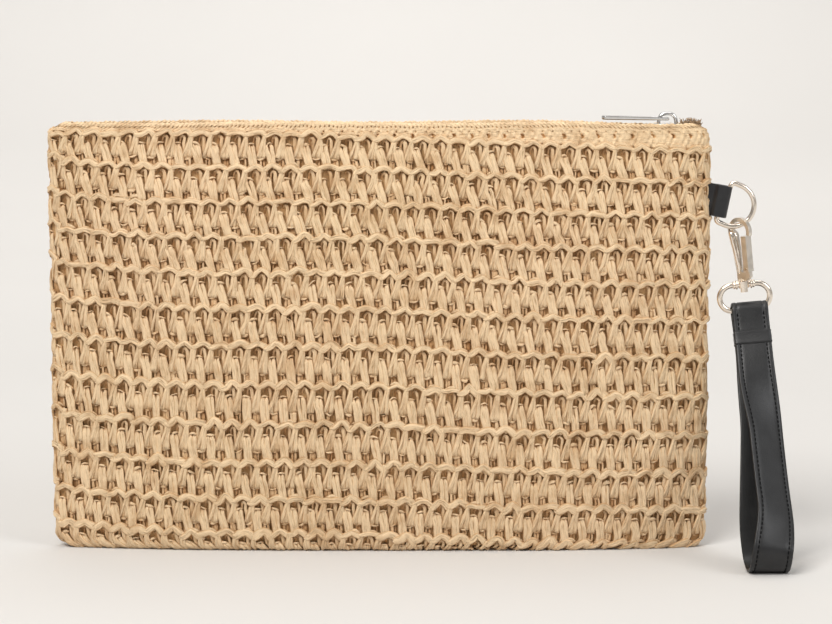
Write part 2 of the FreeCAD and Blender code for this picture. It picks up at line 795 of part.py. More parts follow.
def check(parts):
    """Stops if any object failed to compute or any sub-part isn't a valid solid."""
    for thing in doc.Objects:
        if "Invalid" in thing.State or "Error" in thing.State:
            raise RuntimeError(f"{thing.Name} did not compute: {thing.State}")
    for part in parts:
        if part.Shape.isNull() or not part.Shape.isValid() or not part.Shape.Solids:
            raise RuntimeError(f"{part.Name} has no valid solid")


def write(parts):
    """One STEP file for each sub-part."""
    os.makedirs("parts", exist_ok=True)
    for part in parts:
        part.Label = part.Name
        part.Shape.exportStep(f"parts/{part.Label}.step")
        box = part.Shape.BoundBox
        print(
            f"{part.Label:18s} {part.Shape.Volume:10.2f} mm3  {len(part.Shape.Solids)} solid(s)  "
            f"x {box.XMin:.1f}..{box.XMax:.1f}  y {box.YMin:.1f}..{box.YMax:.1f}  "
            f"z {box.ZMin:.1f}..{box.ZMax:.1f}"
        )


all_parts = build_all()
doc.recompute()
check(all_parts)
write(all_parts)
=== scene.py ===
"""Looks of a crocheted straw clutch with a clip-on leather wrist strap.

Lengths in the helper functions are millimetres; meshes are written in metres.
"""
import json
import math

import bmesh
import bpy
import numpy as np
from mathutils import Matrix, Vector


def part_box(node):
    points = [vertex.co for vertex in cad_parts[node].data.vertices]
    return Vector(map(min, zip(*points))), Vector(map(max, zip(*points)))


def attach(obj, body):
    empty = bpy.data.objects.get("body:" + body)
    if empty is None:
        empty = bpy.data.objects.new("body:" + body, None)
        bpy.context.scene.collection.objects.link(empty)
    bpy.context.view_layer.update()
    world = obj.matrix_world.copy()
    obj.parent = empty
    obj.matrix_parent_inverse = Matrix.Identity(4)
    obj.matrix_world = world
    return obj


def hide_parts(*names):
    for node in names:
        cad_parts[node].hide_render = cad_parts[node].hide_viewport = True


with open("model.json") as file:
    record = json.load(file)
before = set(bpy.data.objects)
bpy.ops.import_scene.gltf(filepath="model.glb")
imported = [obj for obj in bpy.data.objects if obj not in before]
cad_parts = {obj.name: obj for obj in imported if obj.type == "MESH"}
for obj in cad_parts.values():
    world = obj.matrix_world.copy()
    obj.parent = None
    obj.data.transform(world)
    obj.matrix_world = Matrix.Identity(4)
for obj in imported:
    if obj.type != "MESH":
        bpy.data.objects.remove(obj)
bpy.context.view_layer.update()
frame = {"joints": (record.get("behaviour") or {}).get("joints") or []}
rng = np.random.RandomState(7)
MM = 0.001

# ---------------------------------------------------------------- driving sizes, mm
WIDTH = 300.0
HEIGHT = 195.0
EDGE_HALF = 3.0
BASE_HALF = 12.5
BELLY_HALF = 16.5
BELLY_HEIGHT = 58.5
MOUTH_HALF = 7.8
BASE_ROUND = 3.2
CORNER_ROUND = 8.0
SIDE_ROUND = 5.0
SIDE_INSET = 0.8
SIDE_SHIFT = 0.6
ROWS = 12
STITCHES = 37
ROW_TILT = 0.042
FIRST_RIDGE = 188.0
UPRIGHT_LEAN = 0.05
WEB_DEPTH = 2.3
WEB_PLY = 0.5
LINING_DEPTH = 3.6
LINING_CLOTH_PLY = 0.6
BAND_DROP = 11.0
BAND_STEPS = 26
LIP_DROP = 1.6
UNDER_HALF = BASE_HALF - BASE_ROUND


# ---------------------------------------------------------------- the pouch's skin
def half_depth(z):
    """Half the pouch's depth at mid-width, for heights z."""
    rise = (BELLY_HALF - BASE_HALF) / BELLY_HEIGHT
    fall = (MOUTH_HALF - BELLY_HALF) / (HEIGHT - BELLY_HEIGHT)
    bend = (fall - rise) / HEIGHT
    depth = BASE_HALF + rise * z + bend * z * (z - BELLY_HEIGHT)
    low = np.clip(BASE_ROUND - z, 0, BASE_ROUND)
    return depth - (BASE_ROUND - np.sqrt(BASE_ROUND**2 - low**2))


def reach(z):
    """Half the pouch's width, with its rounded corners."""
    high = np.clip(z - (HEIGHT - CORNER_ROUND), 0, CORNER_ROUND)
    low = np.clip(CORNER_ROUND - z, 0, CORNER_ROUND)
    corner = 2 * CORNER_ROUND - np.sqrt(CORNER_ROUND**2 - high**2) - np.sqrt(CORNER_ROUND**2 - low**2)
    return WIDTH / 2 - SIDE_INSET - corner * 0.9


def depth_at(x, z):
    """Half depth of the pouch at x and z, zero at the side edges."""
    side = reach(z)
    across = np.clip(np.abs(x) / side, 0, 1)
    power = 3.0 + 13.0 * np.clip(z / HEIGHT, 0, 1) ** 4
    out = EDGE_HALF + (half_depth(z) - EDGE_HALF) * (1 - across**power)
    near = np.clip((np.abs(x) - (side - SIDE_ROUND)) / SIDE_ROUND, 0, 1)
    return out * np.sqrt(np.clip(1 - near**2, 0, 1))


class Arc:
    """Turns a share of the way across a panel into x, evenly along the fabric."""

    levels = np.linspace(0.0, HEIGHT, 66)
    shares = np.linspace(-1, 1, 301)

    def __init__(self):
        fine = np.sin(np.linspace(-1, 1, 901) * math.pi / 2)
        rows = []
        for level in self.levels:
            z = np.full(fine.shape, level)
            x = fine * reach(z)
            y = depth_at(x, z)
            run = np.concatenate([[0], np.cumsum(np.hypot(np.diff(x), np.diff(y)))])
            rows.append(np.interp(self.shares, 2 * run / run[-1] - 1, x))
        self.table = np.array(rows)

    def x_at(self, share, z):
        row = np.clip(z / HEIGHT, 0, 1) * (len(self.levels) - 1)
        col = (np.clip(share, -1, 1) + 1) / 2 * (len(self.shares) - 1)
        r0 = np.clip(row.astype(int), 0, len(self.levels) - 2)
        c0 = np.clip(col.astype(int), 0, len(self.shares) - 2)
        fr, fc = row - r0, col - c0
        low = self.table[r0, c0] * (1 - fc) + self.table[r0, c0 + 1] * fc
        high = self.table[r0 + 1, c0] * (1 - fc) + self.table[r0 + 1, c0 + 1] * fc
        return low * (1 - fr) + high * fr


ARC = Arc()


def skin(turn, z):
    """Points of the outside: turn runs -1..1 over the front and 1..3 over the back."""
    turn = (turn + 1) % 4 - 1
    back = turn > 1
    share = np.where(back, 2 - turn, turn)
    level = np.clip(z, 0.0, HEIGHT)
    x = ARC.x_at(share, level)
    y = depth_at(x, level) * np.clip(1 + np.minimum(z, 0) / UNDER_HALF, 0, 1)
    return np.stack([x - SIDE_SHIFT, np.where(back, y, -y), level + 0 * x], axis=-1)


def skin_normals(turn, z):
    """Outward normals of the skin."""
    dt, dz = 0.004, 1.0
    along = skin(turn + dt, z) - skin(turn - dt, z)
    up = skin(turn, z + dz) - skin(turn, z - dz)
    normal = np.cross(along, up)
    size = np.linalg.norm(normal, axis=-1, keepdims=True)
    return normal / np.maximum(size, 1e-9)


def wander(turn):
    """Slow rise and fall of the crochet rows, in mm."""
    return 1.1 * np.sin(2.3 * turn + 0.6) + 0.6 * np.sin(6.1 * turn + 2.0)


def ridge_height(row, turn):
    """Height of a row's ridge at a turn round the pouch."""
    steps = np.arange(ROWS + 2)
    pitch = 15.2 + 2.8 * np.exp(-(((steps - 7) / 3.0) ** 2))
    drop = np.concatenate([[0], np.cumsum(pitch)])
    folded = (turn + 1) % 4 - 1
    share = np.where(folded > 1, 2 - folded, folded)
    lean = -ROW_TILT * WIDTH / 2 * share
    place = np.minimum(row, ROWS)
    base = FIRST_RIDGE - drop[place]
    z = base + lean + wander(turn) * (0.3 + 0.7 * (place > 0))
    return np.minimum(z, HEIGHT - 4.5)


# ---------------------------------------------------------------- mesh building
def link(obj):
    bpy.context.scene.collection.objects.link(obj)
    return obj


def mesh_object(name, verts, faces, uvs=None, place=None):
    """Smooth object from points in mm, faces, and up to two (u, v) pairs for each point.

    Layer strand holds lengths across and along the fibres. Layer place holds how far
    across a strand a point is, and how deep it lies; the straw material paints shade from it."""
    mesh = bpy.data.meshes.new(name)
    mesh.from_pydata((np.asarray(verts) * MM).tolist(), [], faces)
    corners = np.empty(len(mesh.loops), dtype=np.int32)
    mesh.loops.foreach_get("vertex_index", corners)
    for layer_name, values in (("strand", uvs), ("place", place)):
        if values is not None:
            layer = mesh.uv_layers.new(name=layer_name)
            layer.data.foreach_set("uv", np.asarray(values, dtype=np.float32)[corners].ravel())
    mesh.polygons.foreach_set("use_smooth", [True] * len(mesh.polygons))
    mesh.validate()
    mesh.update()
    return link(bpy.data.objects.new(name, mesh))


def tube_faces(strips, rings, around, closed=False):
    """Quads and end caps for strips of rings of points, in that order."""
    index = np.arange(strips * rings * around).reshape(strips, rings, around)
    lengthwise = index if not closed else np.concatenate([index, index[:, :1]], axis=1)
    here, there = lengthwise[:, :-1], lengthwise[:, 1:]
    quads = np.stack([here, np.roll(here, -1, axis=2), np.roll(there, -1, axis=2), there], axis=-1)
    faces = quads.reshape(-1, 4).tolist()
    if not closed:
        faces += index[:, 0, ::-1].tolist()
        faces += index[:, -1].tolist()
    return faces


class Strands:
    """Collects flat straw strands that lie on the skin, and makes them one mesh."""

    def __init__(self):
        self.verts, self.faces, self.uvs, self.places, self.count = [], [], [], [], 0

    def add(self, turn, z, out, wide, thick, around=9, crease=0.35):
        """Strands through (turn, z, out) rows of points; every array is (strands, points)."""
        turn, z, out, wide, thick = np.broadcast_arrays(turn, z, out, wide, thick)
        turn, z, out, wide, thick = (resample(a) for a in (turn, z, out, wide, thick))
        centre = skin(turn, z)
        normal = skin_normals(turn, z)
        centre = centre + normal * out[..., None]
        tangent = np.gradient(centre, axis=1)
        tangent /= np.maximum(np.linalg.norm(tangent, axis=-1, keepdims=True), 1e-9)
        side = np.cross(tangent, normal)
        side /= np.maximum(np.linalg.norm(side, axis=-1, keepdims=True), 1e-9)
        top = np.cross(side, tangent)
        strands, points = turn.shape
        across, height = section(around)
        fold = 1 - crease * ripple(strands, points, around)
        rise = np.where(height > 0, height[None, None, :] * fold, height[None, None, :])
        verts = (
            centre[:, :, None, :]
            + side[:, :, None, :] * (across[None, None, :] * wide[:, :, None] / 2)[..., None]
            + top[:, :, None, :] * (rise * thick[:, :, None])[..., None]
        )
        verts[..., 2] = np.clip(verts[..., 2], 0.05, None)
        paces = np.linalg.norm(np.diff(centre, axis=1), axis=-1)
        run = np.concatenate([np.zeros((strands, 1)), np.cumsum(paces, axis=1)], axis=1)
        start = rng.uniform(0, 400, (strands, 1))
        u = np.broadcast_to(across * 0.5, (strands, points, around)) * wide[:, :, None]
        u = u + start[..., None]
        v = np.broadcast_to((run + start)[:, :, None], (strands, points, around))
        faces = tube_faces(strands, points, around)
        base = self.count
        self.faces += [[i + base for i in face] for face in faces]
        self.verts.append(verts.reshape(-1, 3))
        self.uvs.append(np.stack([u, v], axis=-1).reshape(-1, 2) * MM)
        # Place layer: share across the strand and depth, which the straw material turns into painted
        # shade.
        deep = 1 + (out[:, :, None] + 0 * u) / 4
        self.places.append(np.stack([0.5 + across / 2 + 0 * u, deep], axis=-1).reshape(-1, 2))
        self.count += strands * points * around

    def build(self, name):
        uvs, places = np.concatenate(self.uvs), np.concatenate(self.places)
        return mesh_object(name, np.concatenate(self.verts), self.faces, uvs, places)


def resample(points):
    """Adds a smooth (Catmull-Rom) point half-way between each two along axis 1."""
    first, last = points[:, :1], points[:, -1:]
    padded = np.concatenate([2 * first - points[:, 1:2], points, 2 * last - points[:, -2:-1]], axis=1)
    halfway = (9 * (padded[:, 1:-2] + padded[:, 2:-1]) - padded[:, :-3] - padded[:, 3:]) / 16
    mixed = np.stack([points[:, :-1], halfway], axis=2).reshape(points.shape[0], -1)
    return np.concatenate([mixed, last], axis=1)


def section(around):
    """Cross-section of a strand: crowned on top and flat below, from one edge round."""
    upper = around - 2
    angles = np.linspace(math.pi, 0, upper)
    across = np.concatenate([np.cos(angles), [0.6, -0.6]])
    height = np.concatenate([np.sin(angles) ** 0.7 * 0.6, [-0.4, -0.4]])
    return across, height


def ripple(strands, points, around):
    """Lengthwise creases: the same along a strand, with a little change on the way."""
    base = rng.uniform(0, 1, (strands, 1, around))
    drift = rng.uniform(-0.25, 0.25, (strands, points, around))
    return np.clip(base + drift, 0, 1)


# ---------------------------------------------------------------- crochet stitches
def stitch_places(rows, side):
    """Row numbers, places round the pouch and random changes for the stitches of some rows."""
    row, place = np.meshgrid(rows, np.arange(STITCHES), indexing="ij")
    row, place = row.ravel(), place.ravel()
    start = -1.0 if side == "front" else 1.0
    shift = -0.17 * row + 0.13 * np.sin(row * 2.4)
    step = 2.0 / STITCHES
    turn = start + step * (place + 0.5 + shift % 1.0)
    return row, turn, step


def lean_of(row, turn):
    """How far a post leans to the right on its way down, in stitches."""
    base = 0.30 - 0.17 * np.clip((row - 3) / 5.0, 0, 1)
    return base + 0.05 * np.sin(4.0 * turn + row) + rng.normal(0, 0.035, row.shape)


def crochet(rows, side):
    """The stitches hanging from some rows' ridges, on one side of the pouch."""
    row, turn, step = stitch_places(rows, side)
    strands = Strands()
    lean = lean_of(row, turn)
    tipped = lean - UPRIGHT_LEAN
    hole = 0.19 + 0.55 * tipped
    leg_top = 0.66 + 0.43 * tipped
    foot = 0.45 + 0.66 * tipped
    window = 0.52 + 0.77 * tipped

    def at(phase, v):
        """Turn and height at phases across the stitch and shares v of the way down it."""
        t = turn[:, None] + step * (np.asarray(phase) + rng.normal(0, 0.018, np.shape(phase)))
        high = ridge_height(row[:, None], t)
        low = ridge_height(row[:, None] + 1, t)
        return t, high - (high - low) * (np.asarray(v) + rng.normal(0, 0.008, np.shape(phase)))

    def phases(*columns):
        return np.stack([c + 0 * lean for c in columns], axis=1)

    def vary(values, share=0.1):
        values = np.broadcast_to(np.asarray(values, dtype=float), (len(row), len(values)))
        return values * rng.normal(1, share, (len(row), 1)) * rng.normal(1, share / 3, values.shape)

    def twin(columns, shares, out, wide, spread, thick):
        """Two strands side by side, each with its own small changes."""
        for hand in (-1, 1):
            apart = np.broadcast_to(spread, len(columns))
            t, z = at(phases(*(c + hand * gap for c, gap in zip(columns, apart))), shares)
            strands.add(t, z, vary(out, 0.25), vary(wide, 0.13), thick, crease=0.8)

    ridge_line(strands, row, turn, step, hole)
    t, z = at(
        phases(hole - 0.13, hole - 0.12, hole, hole + 0.13, hole + 0.13, foot - 0.12, foot - 0.2),
        [0.36, 0.17, 0.085, 0.16, 0.32, 0.52, 0.7],
    )
    loop = vary([1.0, 1.2, 1.5, 1.7, 1.8, 1.8, 1.4], 0.15)
    out = vary([-2.3, -1.9, -1.3, -0.95, -1.05, -1.4, -1.8], 0.15)
    strands.add(t, z, out, loop, 1.0, crease=0.6)
    tilt = rng.normal(0.0, 0.035, row.shape)[:, None]
    t, z = at(phases(-0.25, -0.09, 0.07, 0.24), [0.335, 0.30, 0.295, 0.33])
    z = z + tilt * np.array([-1.0, -0.3, 0.4, 1.0]) * 14.0
    out = vary([-1.7, -0.65, -0.55, -1.6], 0.25)
    strands.add(t, z, out, vary([0.6, 1.0, 1.0, 0.6], 0.35), 1.0, around=7)
    twin(
        (-0.03, -0.01, 0.15 * lean, 0.45 * lean, 0.75 * lean, lean),
        [0.335, 0.39, 0.5, 0.66, 0.84, 1.02], [-1.4, -0.7, -0.35, -0.25, -0.2, -0.35],
        [1.5, 2.2, 2.4, 2.4, 2.4, 2.2], (0.12, 0.12, 0.12, 0.11, 0.1, 0.09), 1.35,
    )
    twin(
        (leg_top + 0.09, leg_top + 0.03, foot + 0.13, foot + 0.06, foot + 0.02),
        [0.02, 0.15, 0.36, 0.55, 0.715], [0.1, 0.0, -0.3, -0.6, -1.0],
        [1.7, 1.8, 2.1, 2.6, 2.7], (0.02, 0.04, 0.08, 0.12, 0.13), 1.3,
    )
    t, z = at(phases(leg_top + 0.02, foot + 0.03, foot - 0.18), [0.06, 0.38, 0.68])
    strands.add(t, z, vary([-0.1, -0.1, -0.6], 0.2), vary([1.1, 1.4, 1.3], 0.2), 1.1, around=7)
    t, z = at(phases(foot - 0.24, foot - 0.08, foot + 0.1, foot + 0.26), [0.715, 0.745, 0.74, 0.70])
    z = z + rng.normal(0.0, 0.35, row.shape)[:, None] * np.array([-1.0, -0.4, 0.4, 1.0])
    out = vary([-1.8, -1.05, -1.05, -1.8], 0.2)
    strands.add(t, z, out, vary([0.6, 1.0, 1.0, 0.6], 0.3), 0.8, around=7)
    for offset in (-0.09, 0.09):
        middle = window + offset
        t, z = at(phases(middle - 0.02, middle, middle + 0.01), [0.72, 0.86, 1.02])
        strands.add(t, z, vary([-1.9, -1.45, -1.7], 0.2), vary([1.1, 1.5, 1.2], 0.3), 0.8, around=7)
    return strands


def ridge_line(strands, row, turn, step, hole):
    """The wavy chain along the top of a row: overlapping arches, one over each hole."""
    along = np.array([-0.66, -0.5, -0.25, 0.0, 0.25, 0.48, 0.62])
    drop = np.array([0.8, 1.0, 0.2, -0.7, 0.0, 1.1, 1.4]) * (1 + 0.04 * row[:, None])
    out = np.array([-0.4, 0.3, 0.35, 0.15, 0.05, -0.2, -1.4])
    wide = np.array([1.2, 2.1, 2.4, 2.2, 2.4, 2.6, 1.6]) * (1 + 0.032 * row[:, None])
    t = turn[:, None] + step * (hole[:, None] + along + rng.normal(0, 0.03, (len(row), 7)))
    z = ridge_height(row[:, None], t) - drop * rng.normal(1, 0.35, (len(row), 1))
    z = z + rng.normal(0, 0.22, z.shape) + rng.normal(0, 0.35, (len(row), 1))
    width = wide * rng.normal(1, 0.14, (len(row), 1))
    strands.add(t, z, out + rng.normal(0, 0.15, z.shape), width, 1.5, around=11, crease=0.75)
    t = turn[:, None] + step * (hole[:, None] + np.array([-0.45, -0.15, 0.2, 0.52]))
    z = ridge_height(row[:, None], t) + np.array([-0.2, 1.25, 1.1, -0.4]) + rng.normal(0, 0.25, t.shape)
    out, wide = np.array([-1.3, -0.5, -0.4, -1.4]), np.array([1.0, 1.8, 1.7, 0.9])
    strands.add(t, z, out, wide, 1.2, crease=0.6)


def straw_rows(material):
    """Front and back crochet, in groups of rows."""
    groups = [np.arange(start, start + 2) for start in range(0, ROWS, 2)]
    made = {"front": [], "back": []}
    for side, pieces in made.items():
        for number, rows in enumerate(groups, start=1):
            piece = crochet(rows, side).build(f"straw_rows_{side}_{number}")
            finish_piece(piece, material, "purse")
            pieces.append(piece)
    return made


def grid_faces(rows, columns):
    """Quads between the points of a grid, row by row."""
    index = np.arange(rows * columns).reshape(rows, columns)
    quads = np.stack([index[:-1, :-1], index[:-1, 1:], index[1:, 1:], index[1:, :-1]], axis=-1)
    return quads.reshape(-1, 4).tolist()


def skin_sheet(
    name, side, depth, high, low=-UNDER_HALF + 0.1, edge=1.0, wave=0.0, columns=150, rows=100
):
    """A thin sheet that follows one side of the pouch at a depth below its skin."""
    start = -1.0 if side == "front" else 1.0
    shares = np.linspace(-edge, edge, columns)
    foot_rows = 14
    heights = np.concatenate(
        [np.linspace(high, 6.0, rows - foot_rows), np.linspace(5.0, low, foot_rows)]
    )
    turn, z = np.meshgrid(shares + start + 1.0, heights)
    dent = depth + wave * (np.sin(turn * 31) * np.sin(z * 0.21) + np.sin(turn * 13 + z * 0.11)) / 2
    dent = dent * (1 - 0.6 * np.abs(turn - start - 1.0) ** 30)
    verts = skin(turn, z) - skin_normals(turn, z) * dent[..., None]
    verts[..., 2] = np.clip(verts[..., 2], 0.6, None)
    uvs = np.stack([shares[None, :] * WIDTH / 2 + 0 * z, z], axis=-1) * MM
    return mesh_object(name, verts.reshape(-1, 3), grid_faces(*z.shape), uvs.reshape(-1, 2))


def thicken(obj, mm):
    """Gives a sheet real thickness, half on each side of it."""
    solid = obj.modifiers.new("thickness", "SOLIDIFY")
    solid.thickness = mm * MM
    solid.offset = 0.0
    apply_modifiers(obj)


def apply_modifiers(obj):
    """Bakes an object's modifiers into its mesh."""
    graph = bpy.context.evaluated_depsgraph_get()
    mesh = bpy.data.meshes.new_from_object(obj.evaluated_get(graph))
    old = obj.data
    obj.modifiers.clear()
    obj.data = mesh
    mesh.name = obj.name
    bpy.data.meshes.remove(old)


def finish_piece(obj, material, body, replaced=()):
    """Material, body and slot of a piece, and the CAD nodes that it stands for."""
    obj.data.materials.clear()
    obj.data.materials.append(material)
    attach(obj, body)
    if replaced:
        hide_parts(*replaced)
    return obj


# ---------------------------------------------------------------- materials
HALF_WAVES = 6.3  # in one unit of a wave texture of scale 1


class Nodes:
    """The node tree of a material or a world, with short calls for the nodes used here."""

    def __init__(self, owner, shader="Principled BSDF"):
        owner.use_nodes = True
        self.owner = owner
        self.tree = owner.node_tree
        self.shader = self.tree.nodes[shader]

    def node(self, kind, inputs=None, **settings):
        node = self.tree.nodes.new(kind)
        for key, value in settings.items():
            setattr(node, key, value)
        for key, value in (inputs or {}).items():
            self.feed(node.inputs[key], value)
        return node

    def feed(self, socket, value):
        if isinstance(value, bpy.types.NodeSocket):
            self.tree.links.new(value, socket)
        else:
            socket.default_value = value

    def set(self, **values):
        for key, value in values.items():
            self.feed(self.shader.inputs[key.replace("_", " ")], value)

    def coords(self, kind="Object", scale=(1, 1, 1)):
        """Object or UV coordinates, stretched by a scale along each axis."""
        source = self.node("ShaderNodeTexCoord")
        inputs = {"Vector": source.outputs[kind], "Scale": scale}
        return self.node("ShaderNodeMapping", inputs).outputs[0]

    def noise(self, vector, scale, detail=3.0, rough=0.55):
        inputs = {"Vector": vector, "Scale": scale, "Detail": detail, "Roughness": rough}
        return self.node("ShaderNodeTexNoise", inputs).outputs["Fac"]

    def ramp(self, fac, *stops):
        node = self.node("ShaderNodeValToRGB", {"Fac": fac})
        while len(node.color_ramp.elements) < len(stops):
            node.color_ramp.elements.new(0.5)
        for element, (place, colour) in zip(node.color_ramp.elements, stops):
            element.position = place
            element.color = (*colour, 1.0)
        return node.outputs["Color"]

    def math(self, operation, a, b):
        node = self.node("ShaderNodeMath", operation=operation)
        self.feed(node.inputs[0], a)
        self.feed(node.inputs[1], b)
        return node.outputs[0]

    def tint(self, fac, a, b):
        """Colour a, multiplied by colour b to a share fac."""
        node = self.node("ShaderNodeMix", data_type="RGBA", blend_type="MULTIPLY")
        self.feed(node.inputs[0], fac)
        self.feed(node.inputs[6], a)
        self.feed(node.inputs[7], b)
        return node.outputs[2]

    def spread(self, value, low, high):
        """A 0 to 1 value spread between two others."""
        return self.node("ShaderNodeMapRange", {"Value": value, "To Min": low, "To Max": high}).outputs[0]

    def bump(self, height, strength, distance, normal=None):
        inputs = {"Height": height, "Strength": strength, "Distance": distance}
        if normal is not None:
            inputs["Normal"] = normal
        return self.node("ShaderNodeBump", inputs).outputs[0]


def grey(level):
    return (level, level, level)


def straw_material(name, light, mid, dark, painted_edge_depth_shade=True):
    """Twisted paper straw: long fibres, uneven dye and a soft sheen. Unless turned off, painted shade
    darkens the colour along a strand's edges and where a strand lies deep."""
    n = Nodes(bpy.data.materials.new(name))
    patch = n.noise(n.coords(), 110.0)
    wide = n.noise(n.coords(), 9.0, 2.0)
    fibre = n.noise(n.coords("UV", (1.0, 0.1, 1)), 1500.0, 4.0, 0.7)
    fine = n.noise(n.coords("UV", (1.0, 0.2, 1)), 5200.0, 2.0)
    base = n.ramp(patch, (0.3, mid), (0.52, light), (0.75, tuple(c * 1.05 for c in light)))
    tone = n.ramp(fibre, (0.3, dark), (0.44, grey(0.84)), (0.6, grey(1.0)))
    shade = n.tint(0.8, base, tone)
    warm = n.ramp(wide, (0.35, (1.0, 0.98, 0.93)), (0.65, (1.0, 0.95, 0.92)))
    shade = n.tint(0.55, shade, warm)
    if painted_edge_depth_shade:
        spot = n.node("ShaderNodeUVMap", uv_map="place").outputs[0]
        place = n.node("ShaderNodeSeparateXYZ", {"Vector": spot})
        off_middle = n.math("ABSOLUTE", n.math("SUBTRACT", place.outputs[0], 0.5), 0.0)
        # Painted shade: darker towards a strand's edges.
        painted_edge_shade = n.ramp(off_middle, (0.32, grey(1.0)), (0.48, (0.74, 0.63, 0.51)))
        steps = ((0.42, (0.74, 0.53, 0.34)), (0.66, (0.92, 0.84, 0.75)), (0.84, grey(1.0)))
        # Painted shade: darker where a strand lies deep.
        depth = n.ramp(place.outputs[1], *steps)
        shade = n.tint(1.0, n.tint(1.0, shade, painted_edge_shade), depth)
    n.set(Base_Color=shade)
    n.set(Roughness=n.spread(fibre, 0.72, 0.5))
    grain = n.bump(fibre, 0.9, 0.0008)
    n.set(Normal=n.bump(fine, 0.25, 0.00012, grain))
    n.set(Specular_IOR_Level=0.32, Sheen_Weight=0.08, Sheen_Roughness=0.4)
    return n.owner


def cloth_material(name, colour, pitch):
    """Woven cloth: crossed threads of a pitch in metres, with uneven dye."""
    n = Nodes(bpy.data.materials.new(name))
    place = n.coords()
    threads = []
    for direction in ("X", "Z"):
        inputs = {"Vector": place, "Scale": 1.0 / pitch / HALF_WAVES}
        wave = n.node("ShaderNodeTexWave", inputs, bands_direction=direction)
        threads.append(wave.outputs["Fac"])
    weave = n.math("MULTIPLY", threads[0], threads[1])
    mottle = n.noise(place, 220.0)
    dark = tuple(c * 0.55 for c in colour)
    shade = n.ramp(weave, (0.0, dark), (0.6, colour))
    uneven = n.ramp(mottle, (0.3, grey(0.5)), (0.7, grey(1.0)))
    n.set(Base_Color=n.tint(0.35, shade, uneven))
    n.set(Normal=n.bump(weave, 0.5, 0.0002))
    n.set(Roughness=n.spread(mottle, 0.95, 0.8))
    n.set(Sheen_Weight=0.15)
    return n.owner


def metal_material(name, colour, rough):
    """Polished plate with faint handling scratches and smudges."""
    n = Nodes(bpy.data.materials.new(name))
    place = n.coords()
    smudge = n.noise(place, 260.0)
    scratch = n.noise(n.coords("Object", (1.0, 1.0, 0.15)), 2500.0, 2.0)
    dull = tuple(c * 0.86 for c in colour)
    n.set(Base_Color=n.ramp(smudge, (0.3, dull), (0.6, colour)))
    both = n.math("ADD", n.math("MULTIPLY", smudge, 0.16), n.math("MULTIPLY", scratch, 0.08))
    n.set(Roughness=n.math("ADD", both, rough))
    n.set(Normal=n.bump(scratch, 0.05, 0.00005))
    n.set(Metallic=1.0)
    return n.owner


def leather_material(name, colour, rough, relief=1.0):
    """Coated leather: pebbled grain, fine pores, creases, and a mottled tone a little lighter in places.
    """
    n = Nodes(bpy.data.materials.new(name))
    place = n.coords()
    inputs = {"Vector": place, "Scale": 1900.0}
    pebble = n.node("ShaderNodeTexVoronoi", inputs, feature="SMOOTH_F1").outputs[0]
    mottle = n.noise(place, 140.0, 4.0)
    crease = n.noise(n.coords("Object", (1.0, 1.0, 2.2)), 420.0, 4.0, 0.65)
    light = tuple(c * 1.6 + 0.002 for c in colour)
    n.set(Base_Color=n.ramp(mottle, (0.32, colour), (0.72, light)))
    grain = n.bump(pebble, 0.28 * relief, 0.00016)
    n.set(Normal=n.bump(crease, 0.22 * relief, 0.0003, grain))
    n.set(Roughness=n.spread(crease, rough - 0.08, rough + 0.12))
    n.set(Specular_IOR_Level=0.42, Coat_Weight=0.05, Coat_Roughness=0.35)
    return n.owner


def thread_material(name, colour):
    """Twisted sewing thread."""
    n = Nodes(bpy.data.materials.new(name))
    twist = n.noise(n.coords(), 3500.0, 2.0)
    n.set(Base_Color=n.ramp(twist, (0.3, tuple(c * 0.5 for c in colour)), (0.7, colour)))
    n.set(Roughness=n.spread(twist, 0.75, 0.95))
    n.set(Normal=n.bump(twist, 0.4, 0.0001))
    n.set(Specular_IOR_Level=0.15)
    return n.owner


def floor_material():
    n = Nodes(bpy.data.materials.new("studio_floor"))
    tone = n.noise(n.coords(), 3.0, 2.0)
    paper = n.ramp(tone, (0.3, (0.70, 0.68, 0.655)), (0.7, (0.715, 0.695, 0.67)))
    # Painted shade: the floor is coloured darker towards the camera, where the lights fall brighter, so
    # that it looks evenly lit.
    parts = n.node("ShaderNodeSeparateXYZ", {"Vector": n.coords()})
    limits = {"Value": parts.outputs["Y"], "From Min": -0.3, "From Max": 0.9, "To Min": 0.86}
    near = n.node("ShaderNodeMapRange", limits).outputs[0]
    n.set(Base_Color=n.tint(1.0, paper, near))
    n.set(Roughness=0.85, Specular_IOR_Level=0.2)
    return n.owner


STRAW = straw_material("straw", (0.88, 0.665, 0.425), (0.72, 0.495, 0.285), (0.42, 0.31, 0.2))
# Inner straw layer seen through the holes: real straw, coloured darker brown than the straw as painted
# shade.
WEB_PAINTED_SHADE = straw_material(
    "straw_inner_painted_shade", (0.64, 0.39, 0.18), (0.4, 0.215, 0.085), (0.28, 0.2, 0.13), painted_edge_depth_shade=False
)
LINING = cloth_material("lining_cloth", (0.42, 0.27, 0.15), 0.0006)
TAPE = cloth_material("zip_tape_cloth", (0.40, 0.25, 0.13), 0.0005)
TAPE_END = cloth_material("zip_tape_end", (0.44, 0.29, 0.16), 0.0007)
GOLD = metal_material("pale_gold", (0.93, 0.83, 0.72), 0.1)
CAST_GOLD = metal_material("cast_gold", (0.88, 0.81, 0.72), 0.2)
SILVER = metal_material("nickel", (0.74, 0.73, 0.72), 0.08)
BRASS = metal_material("dull_brass", (0.42, 0.29, 0.14), 0.32)
STEEL = metal_material("spring_steel", (0.56, 0.56, 0.55), 0.3)
LEATHER = leather_material("black_leather", (0.009, 0.009, 0.0095), 0.4)
TAB_LEATHER = leather_material("tab_leather", (0.014, 0.014, 0.015), 0.3, relief=0.25)
BACKING = leather_material("black_backing", (0.009, 0.009, 0.009), 0.6)
THREAD = thread_material("black_thread", (0.006, 0.006, 0.0065))


